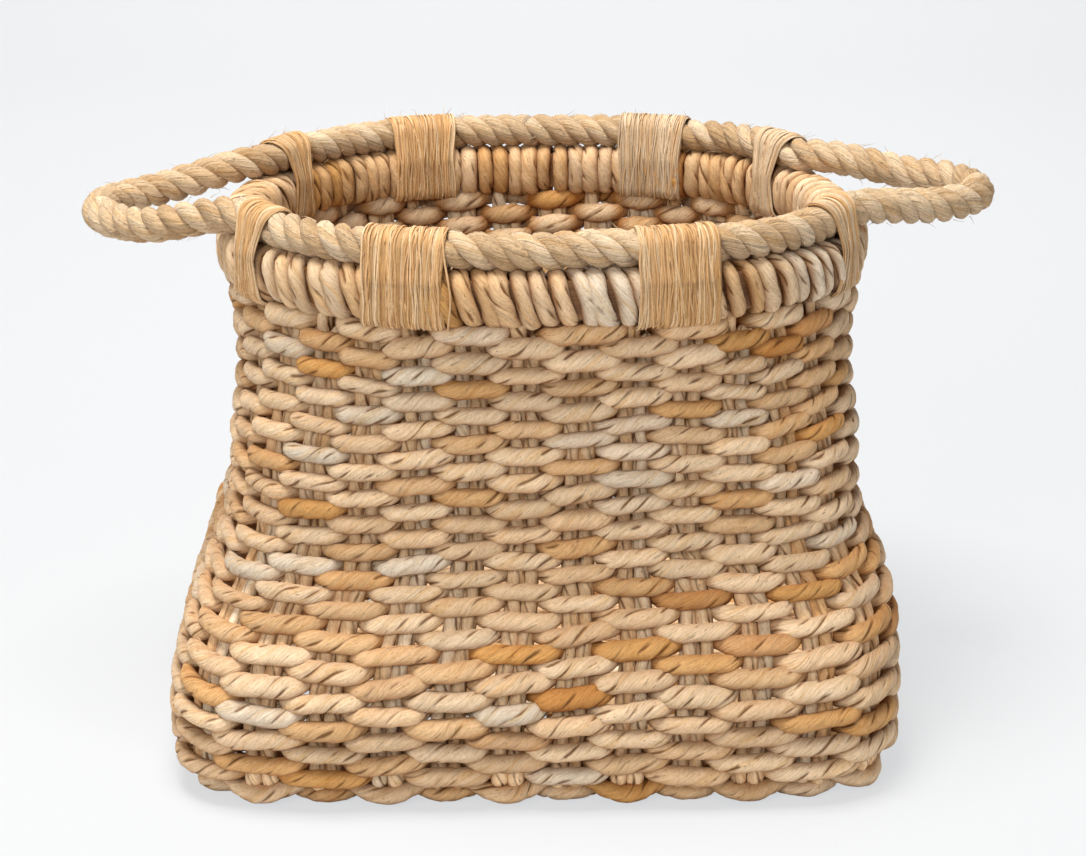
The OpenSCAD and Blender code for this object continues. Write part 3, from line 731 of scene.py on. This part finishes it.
def foot_course(name, front, between, behind, phase, seed):
    """One of the two lowest cords, hanging in garlands from stake to stake on their bends."""
    rng = np.random.default_rng(seed)
    steps = np.arange(2 * STAKES)
    kind = (steps // 2 + phase) % 2
    w = np.where((steps % 2 == 1)[:, None], between, np.where((kind == 0)[:, None], front, behind))
    p, n = wall(angle_at(0.5 + steps / 2), WIDEST_Z)
    knots = p - n * w[:, :1]
    knots[:, 2] = w[:, 1]
    fine = []
    for f in np.linspace(0, 1, 12, endpoint=False):
        p0, p1, p2, p3 = (np.roll(knots, k, 0) for k in (1, 0, -1, -2))
        fine.append(0.5 * (2 * p1 + (p2 - p0) * f + (2 * p0 - 5 * p1 + 4 * p2 - p3) * f ** 2
                           + (3 * p1 - p0 - 3 * p2 + p3) * f ** 3))
    line, index = evenly(np.stack(fine, 1).reshape(-1, 3), COURSE_STEP, True)
    at = index / 24
    beside = (at + phase + 1) % 2 - 1
    full = 0.5 - 0.5 * np.tanh((np.abs(beside) - 0.5) / 0.12)
    size = 9.0 + 3.0 * full
    line[:, 2] = np.maximum(line[:, 2], size * 0.55 + 0.3)
    up, out = frame_along(line, wall(angle_at(0.5 + at), WIDEST_Z)[1], True)
    number = np.floor((at + phase + 1) / 2).astype(int) % FLOATS
    colours = np.array([bark_shade(rng) for _ in range(FLOATS)])
    cords = Cords()
    bark_cord(cords, rng, line, up, out, size, size, colours[number], True, lay=42)
    cords.build(name.replace("course", "bark_weaver"), TWISTED_BARK, "bark_cord", name)


foot_course("foot_course_upper", bend_pass(46), [2.4, WIDEST_Z - 8.6],
            [BEND_R + 0.3, MAT_Z + DEPTH + 0.3], 1, 601)
foot_course("foot_course_lower", bend_pass(64), [10.4, WIDEST_Z - 12.5],
            [BEND_R + 10.2, MAT_Z + STAKE_T + SEAT + 4.1], 0, 602)


# ---- Rim wrapping -----------------------------------------------------------
def roll_path(share, x_half, z_half, n=3.4):
    """Point round the rim's section: 0 at the top, then down the outside and up the inside."""
    a = math.pi / 2 - TURN * share
    c, s = np.cos(a), np.sin(a)
    r = ((np.abs(c) / x_half) ** n + (np.abs(s) / z_half) ** n) ** (-1 / n)
    return r * c, r * s


# The wrapping steps on to its next turn mostly on the outside: share of a turn, share of the step
WRAP_SHARE, WRAP_STEP = [0, 0.06, 0.44, 0.6, 1.0], [0, 0.05, 0.85, 0.95, 1.0]
# Turn at which each piece of the wrapping cord starts, and its colour
WRAP_PIECES = {0: 0, 5: 1, 11: 2, 16: 3, 19: 1, 24: 2, 28: 3, 30: 1, 35: 2, 40: 3, 43: 1, 48: 2, 52: 0,
               61: 0, 70: 2, 74: 3, 76: 2, 79: 1, 82: 5, 86: 1, 90: 2, 92: 0, 94: 5, 99: 0, 103: 1}
# Points in a turn, and the cord's usual width and thickness on the rim
WRAP_POINTS, WRAP_WIDTH, WRAP_THICK = 44, 12.0, 8.4


def rim_wrap():
    v = np.arange(WRAP_TURNS * WRAP_POINTS) / WRAP_POINTS
    share = v - np.floor(v)
    rng = np.random.default_rng(700)
    turn_no = np.floor(v).astype(int)
    # The cord steps forward mostly on the outside, so its turns lean there and stand upright inside
    step = np.interp(share, WRAP_SHARE, WRAP_STEP)
    lean_more = rng.normal(0, 0.14, WRAP_TURNS)[turn_no] * np.sin(TURN * share)
    x, z = roll_path(share, RIM_HALF - WRAP_T / 2, RIM_H / 2 - WRAP_T / 2 - 0.4, 3.0)
    bulge = 1 + rng.normal(0.03, 0.045, WRAP_TURNS)[turn_no] * np.sin(math.pi * share) ** 2
    angle = rim_angle((turn_no + step + lean_more) / WRAP_TURNS)
    p, n = wall(angle, RIM_MID_Z)
    line = p + n * (x * bulge)[:, None]
    line[:, 2] += z * bulge
    line, index = evenly(line, 2.9, True)
    at = index / WRAP_POINTS
    turn_no = np.floor(at).astype(int) % WRAP_TURNS
    share = at - np.floor(at)
    x, z = roll_path(share, 1.0, 1.4)
    step = np.interp(share, WRAP_SHARE, WRAP_STEP)
    n = wall(rim_angle((np.floor(at) + step) / WRAP_TURNS), RIM_MID_Z)[1]
    out = unit(n * x[:, None] + np.array([0, 0, 1.0]) * z[:, None])
    up, out = frame_along(line, out, True)
    # The cord is joined every few turns, and the pieces differ in colour
    colours = []
    for turn in range(WRAP_TURNS):
        if turn in WRAP_PIECES:
            base = BARK_COLOURS[WRAP_PIECES[turn]] * rng.uniform(0.88, 1.0)
        other = BARK_COLOURS[rng.choice([1, 2, 3])]
        mix = rng.uniform(0, 0.35)
        colours.append((base * (1 - mix) + other * mix) * rng.uniform(0.9, 1.06))
    tint = np.array(colours)[turn_no]
    width = (WRAP_WIDTH * (1 + rng.normal(0, 0.12, WRAP_TURNS)))[turn_no]
    cords = Cords()
    bark_cord(cords, rng, line, up, out, width, WRAP_THICK, tint, True, lay=62, fold=0.2)
    cords.build("rim_wrapping_cord", TWISTED_BARK, "bark_cord", "rim_wrap")


rim_wrap()


# ---- Rope -------------------------------------------------------------------
# Length of one turn of the rope's strands, and how often a strand's seven yarns turn in it
ROPE_LAY, YARNS, YARN_TURNS = 43.0, 7, 1.8
STRAND_D = ROPE_D / (1 + 2 / math.sqrt(3))
STRAND_TURN = np.linspace(0, TURN, 24, endpoint=False)


def rope_tint(rng, s, whole):
    mix = np.clip(0.5 + 0.5 * wander(rng, s, whole, 130), 0, 1)[:, None]
    return ROPE_COLOURS[0] * (1 - mix) + ROPE_COLOURS[1 if rng.random() < 0.5 else 2] * mix


def laid_rope(cords, rng, line, out):
    """Three strands laid right-handed along a closed line."""
    s = travel(line, True)
    whole = s[-1]
    s = s[:-1]
    up, out = frame_along(line, out, True)
    laps = round(whole / ROPE_LAY)
    loose = 0.35 * wander(rng, s, whole, 260)
    for strand in range(3):
        a = TURN * laps * s / whole + loose + strand * TURN / 3
        swell = 1 + 0.05 * wander(rng, s, whole, 40)
        radial = np.cos(a)[:, None] * up + np.sin(a)[:, None] * out
        path = line + radial * (ROPE_D - STRAND_D) / 2
        t = tangents(path, True)
        inner = unit(radial - t * np.sum(radial * t, -1, keepdims=True))
        side = np.cross(t, inner)
        # The yarns twist the other way, so their fibres lie nearly along the rope
        phase = STRAND_TURN[None, :]
        yarn = phase + (TURN * YARN_TURNS * laps * s / whole)[:, None]
        r = STRAND_D / 2 * 1.04 * swell[:, None] * (1 + 0.035 * np.cos(YARNS * yarn))
        ring = rings(path, inner, side, r * np.cos(phase), r * np.sin(phase))
        # Shade deep in the groove between two strands
        groove = np.clip(-np.cos(phase) * 0.9, 0, 1) * np.ones((len(s), 1))
        cords.add(ring, s, yarn, STRAND_D / 2, rope_tint(rng, s, whole), groove, True)


def loose_hairs(cords, rng, line, radius, count, length, tint):
    """Fine fibre ends that stand off a rope or a lashing, each a thin tapered spike."""
    t = tangents(line, False)
    for _ in range(count):
        k = rng.integers(0, len(line))
        away = unit(np.cross(t[k], rng.normal(size=3)))
        lead = unit(t[k] * rng.choice((-1, 1)) + away * rng.uniform(0.15, 0.7))
        reach = rng.uniform(0.4, 1) * length
        along = np.linspace(0, 1, 6)[:, None]
        droop = rng.normal(0, 0.25, 3) * reach
        path = line[k] + away * radius * 0.96 + lead * reach * along + droop * along ** 2
        path[:, 2] = np.maximum(path[:, 2], 0.4)
        tt = tangents(path, False)
        e = unit(np.cross(tt, [0.3, 0.5, 0.8]))
        f = np.cross(tt, e)
        turn = np.linspace(0, TURN, 3, endpoint=False)[None, :, None]
        thick = (0.28 * (1 - 0.8 * along))[:, :, None]
        ring = path[:, None, :] + thick * (np.cos(turn) * e[:, None, :] + np.sin(turn) * f[:, None, :])
        cords.add(ring, travel(path, False), turn[..., 0], 0.2, np.repeat(tint[None, :], 6, 0), 0.0, False)


def rim_way(angle):
    """Length along the rim's centre line to a polar angle."""
    return float(np.interp(angle % TURN, RIM_T, RIM_S))


def where_rim(passes, axis, low, high):
    """Polar angle between low and high at which the rim's centre line passes a coordinate."""
    t = np.radians(np.arange(low, high + 1, 2.0))
    v = wall(t, RIM_MID_Z)[0][:, axis]
    order = np.argsort(v)
    return float(np.interp(passes, v[order], t[order]))


LOOP_TILT = 4
ROOT_T = where_rim(HANDLE_ROOT_Y, 1, 0, 60)
WIDE_T = where_rim(WIDE_LASHING_X, 0, 30, 90)


def rope_line():
    """The one rope: along a long side, out into a loop and back, along the other side, and again."""
    leave_t = rim_angle((rim_way(ROOT_T) - ROOT_LASHING / 2) / RIM_S[-1])
    leave, normal = (v[0, :2] for v in wall(np.array([leave_t]), RIM_MID_Z))
    swing = math.atan2(normal[1], normal[0]) - math.radians(90 - 18)
    way = np.array([math.cos(swing), math.sin(swing)])
    tip = float(half_axes(RIM_MID_Z)[0]) + HANDLE_REACH
    knots = [leave, leave + way * HANDLE_ROOT_Y * 0.37,
             np.array([tip, 0.55 * HANDLE_ROOT_Y]), np.array([tip, 0.0])]
    side = wall(np.linspace(math.pi / 2, leave_t, 120, endpoint=False), RIM_MID_Z)[0]
    side[:, 2] = RING_Z
    f = np.linspace(0, 1, 120)[:, None]
    loop = ((1 - f) ** 3 * knots[0] + 3 * (1 - f) ** 2 * f * knots[1]
            + 3 * (1 - f) * f ** 2 * knots[2] + f ** 3 * knots[3])
    drop = (1 - np.cos(math.pi * np.clip(2 * f - 0.3, 0, 1))) / 2 * HANDLE_DROP
    quarter = np.vstack([side, np.hstack([loop, RING_Z - drop])])
    return np.vstack([quarter, (quarter * [1, -1, 1])[-2::-1], (quarter * [-1, -1, 1])[1:],
                      (quarter * [-1, 1, 1])[-2:0:-1]])


def handle_rope():
    rng = np.random.default_rng(800)
    line, _ = evenly(rope_line(), 2.2, True)
    line[:, 2] += 0.7 * wander(rng, np.arange(len(line)), len(line), 110)
    # The left loop hangs a little lower than the right one
    line[:, 2] += LOOP_TILT * np.sign(line[:, 0]) * np.clip((np.abs(line[:, 0]) - 190) / 100, 0, 1)
    out = np.broadcast_to(np.array([0.0, 0.0, 1.0]), line.shape)
    cords = Cords()
    laid_rope(cords, rng, line, out)
    loose_hairs(cords, rng, line, ROPE_D / 2, 520, 9, ROPE_COLOURS[2])
    cords.build("mouth_and_handle_rope_strands", LAID_ABACA, "laid_rope", "mouth_and_handle_rope")


handle_rope()


# ---- Lashings ---------------------------------------------------------------
def flat_way(outline):
    """Distance travelled round a closed outline of flat points, and the points made three long."""
    solid = np.hstack([outline, np.zeros((len(outline), 1))])
    return travel(solid, True), solid


def tight_round(discs, n):
    """Outline pulled tight round discs of [x, z, radius], as n evenly spaced points."""
    circle = np.linspace(0, TURN, 48, endpoint=False)
    cloud = np.vstack([[x + r * math.cos(a), z + r * math.sin(a)] for x, z, r in discs for a in circle])
    a = np.linspace(0, TURN, 240, endpoint=False)
    way = np.stack([np.cos(a), np.sin(a)], -1)
    far = cloud[np.argmax(cloud @ way.T, axis=0)]
    keep = np.linalg.norm(far - np.roll(far, 1, 0), axis=1) > 1e-6
    s, hull = flat_way(far[keep])
    line, _ = evenly(hull, s[-1] / n, True)
    return line[:, :2]


CORNER_R = 1.5
ROLL = [(x * (RIM_HALF - WRAP_T - CORNER_R), z * (RIM_H / 2 - WRAP_T - CORNER_R),
         CORNER_R + WRAP_T + 1.0) for x in (-1, 1) for z in (-1, 1)]
BOUND = ROLL + [(0, RING_Z - RIM_MID_Z, ROPE_D / 2 + 0.3)]


def lashing(name, angle, width, colours, seed, strands, waist):
    """Fine strands wound side by side round the rope and the rim, some crossing over the others."""
    rng = np.random.default_rng(seed)
    section = tight_round(BOUND, 56)
    centre_s = rim_way(angle)
    high = section[:, 1].max()
    low = section[:, 1].min()
    level = (section[:, 1] - low) / (high - low)
    # Pulled in over the rim's side, spread over the rope and below
    spread = waist(level)
    s = flat_way(section)[0]
    s, whole = s[:-1], s[-1]
    cords = Cords()
    under = round(strands * 0.5)
    for k in range(strands):
        over = k >= under
        place = rng.uniform(-0.49, 0.49) if over else k / (under - 1) - 0.5
        layer = rng.uniform(0.9, 1.7) if over else rng.uniform(0.2, 0.5)
        drift = wander(rng, s, whole, 80) * (0.9 if over else 0.3)
        slant = rng.normal(0, 0.045) * width * np.sin(TURN * s / whole + rng.uniform(0, TURN))
        offset = place * width * spread + drift + slant * over
        t = np.interp((centre_s + offset) % RIM_S[-1], RIM_S, RIM_T)
        p, n = wall(t, RIM_MID_Z)
        middle = section.mean(0)
        grown = section + unit(section - middle) * layer
        line = p + n * grown[:, :1]
        line[:, 2] += grown[:, 1]
        out_flat = unit(section - middle)
        out = unit(n * out_flat[:, :1] + np.array([0, 0, 1.0]) * out_flat[:, 1:])
        up, out = frame_along(line, out, True)
        m = 6
        phase = np.linspace(0, TURN, m, endpoint=False)[None, :]
        w = rng.uniform(0.9, 1.7) if over else 1.7 * width / under
        ring = rings(line, up, out, np.cos(phase) * w / 2, np.sin(phase) * 0.55)
        # The lower layer of strands is darker, as painted shade under the strands that cross it
        base = colours[rng.integers(0, len(colours))] * (rng.uniform(0.88, 1.1) if over else 0.85)
        tint = np.repeat(base[None, :], len(line), 0)
        cords.add(ring, s, phase * np.ones((len(line), 1)), w / 2, tint, 0.0, True)
        if rng.random() < 0.5:
            hair_at = line[rng.integers(0, len(line) - 4):][:4]
            loose_hairs(cords, rng, hair_at, 0.4, 2, 12, base)
    cords.build(name + "_strands", COMBED_RAFFIA, "lashing_fibre", name)


def nearly_even(level):
    return 0.94 + 0.06 * np.abs(level * 2 - 1)


def pinched(level):
    return 0.62 + 0.55 * np.abs(level - 0.45) ** 1.4 * 2.2


# Tied by eye, so each lies 4 to 13 mm off its even place
for name, angle, slip, colours, seed in (
        ("front_left_lashing", math.pi + WIDE_T, -4, LASHING_COLOURS, 900),
        ("front_right_lashing", -WIDE_T, -13, LASHING_COLOURS, 901),
        ("rear_left_lashing", math.pi - WIDE_T, -4, LASHING_COLOURS, 902),
        ("rear_right_lashing", WIDE_T, -9, PALE_LASHING, 903)):
    tied = rim_angle((rim_way(angle) + slip) / RIM_S[-1])
    lashing(name, tied, WIDE_LASHING, colours, seed, 110, nearly_even)
for name, angle, colours, seed in (
        ("left_handle_front_lashing", math.pi + ROOT_T, LASHING_COLOURS, 910),
        ("left_handle_rear_lashing", math.pi - ROOT_T, LASHING_COLOURS, 911),
        ("right_handle_rear_lashing", ROOT_T, PALE_LASHING, 912),
        ("right_handle_front_lashing", -ROOT_T, LASHING_COLOURS + PALE_LASHING, 913)):
    lashing(name, angle, ROOT_LASHING, colours, seed, 76, pinched)


# ---- Studio -----------------------------------------------------------------
# The camera: how far it is turned and tilted, its distance, and how high and aside it aims, in metres
YAW, TILT, DISTANCE, AIM_Z, ASIDE = math.radians(2.8), math.radians(18.62), 1.681, 0.1838, -0.0015


def studio_floor():
    material, tree = finish("studio_paper")
    lit = node(tree, "ShaderNodeBsdfPrincipled", {"Base Color": (*linear("#D9DADC"), 1), "Roughness": 0.9})
    glow = node(tree, "ShaderNodeEmission", {"Color": (*linear("#F0F2F4"), 1)})
    seen = node(tree, "ShaderNodeLightPath").outputs["Is Camera Ray"]
    share = node(tree, "ShaderNodeMath", {0: seen, 1: 0.7}, operation="MULTIPLY")
    paper = node(tree, "ShaderNodeMixShader", {"Fac": share.outputs["Value"], 1: lit.outputs["BSDF"],
                                               2: glow.outputs["Emission"]})
    node(tree, "ShaderNodeOutputMaterial", {"Surface": paper.outputs["Shader"]})
    half = 6.0
    # One sheet of paper: flat under the basket and curved up behind it
    profile = [(-half, 0)] + [(2.4 + 1.2 * math.sin(a), 1.2 - 1.2 * math.cos(a))
                              for a in np.linspace(0, math.pi / 2, 16)] + [(3.6, 5.0)]
    points = [(x, y, z) for y, z in profile for x in (-half, half)]
    faces = [(2 * k, 2 * k + 1, 2 * k + 3, 2 * k + 2) for k in range(len(profile) - 1)]
    mesh = bpy.data.meshes.new("studio_sweep")
    mesh.from_pydata(points, [], faces)
    mesh.polygons.foreach_set("use_smooth", [True] * len(faces))
    mesh.materials.append(material)
    sweep = bpy.data.objects.new("studio_sweep", mesh)
    bpy.context.scene.collection.objects.link(sweep)
    sweep.rotation_euler = (0, 0, -YAW)


def lamp(name, place, aim, size, power, colour):
    data = bpy.data.lights.new(name, "AREA")
    data.shape, data.size, data.energy, data.color = "DISK", size, power, colour
    light = bpy.data.objects.new(name, data)
    light.location = place
    way = np.array(aim) - np.array(place)
    yaw = math.atan2(way[1], way[0]) - math.pi / 2
    pitch = math.atan2(way[2], math.hypot(way[0], way[1]))
    light.rotation_euler = (math.pi / 2 + pitch, 0, yaw)
    bpy.context.scene.collection.objects.link(light)


def camera():
    data = bpy.data.cameras.new("camera")
    data.sensor_width, data.lens = 36, 78.1
    eye = bpy.data.objects.new("camera", data)
    x, y = -ASIDE, -DISTANCE * math.cos(TILT)
    c, s = math.cos(-YAW), math.sin(-YAW)
    eye.location = (c * x - s * y, s * x + c * y, AIM_Z + DISTANCE * math.sin(TILT))
    eye.rotation_euler = (math.pi / 2 - TILT, 0, -YAW)
    bpy.context.scene.collection.objects.link(eye)
    bpy.context.scene.camera = eye


studio_floor()
lamp("overhead_softbox", (-0.3, -0.2, 2.2), (0, 0, 0.15), 1.1, 62, (1.0, 0.98, 0.94))
lamp("front_left_softbox", (-1.2, -2.2, 1.5), (0, 0, 0.2), 1.2, 28, (1.0, 0.98, 0.95))
lamp("right_fill", (2.0, -1.5, 1.0), (0, 0, 0.2), 1.4, 11, (1.0, 1.0, 1.0))
lamp("backdrop_softbox", (0, 1.3, 2.6), (0, 3.6, 1.6), 1.6, 80, (1.0, 1.0, 1.0))
world = bpy.data.worlds.new("studio_air")
world.use_nodes = True
world.node_tree.nodes["Background"].inputs["Color"].default_value = (*linear("#F2F4F6"), 1)
# The air lights little but shows as pale as the paper where the sheet ends
air_seen = node(world.node_tree, "ShaderNodeLightPath").outputs["Is Camera Ray"]
air = node(world.node_tree, "ShaderNodeMath", {0: air_seen, 1: 0.72, 2: 0.15}, operation="MULTIPLY_ADD")
world.node_tree.links.new(air.outputs["Value"], world.node_tree.nodes["Background"].inputs["Strength"])
bpy.context.scene.world = world
bpy.context.scene.view_settings.view_transform = "Standard"
camera()
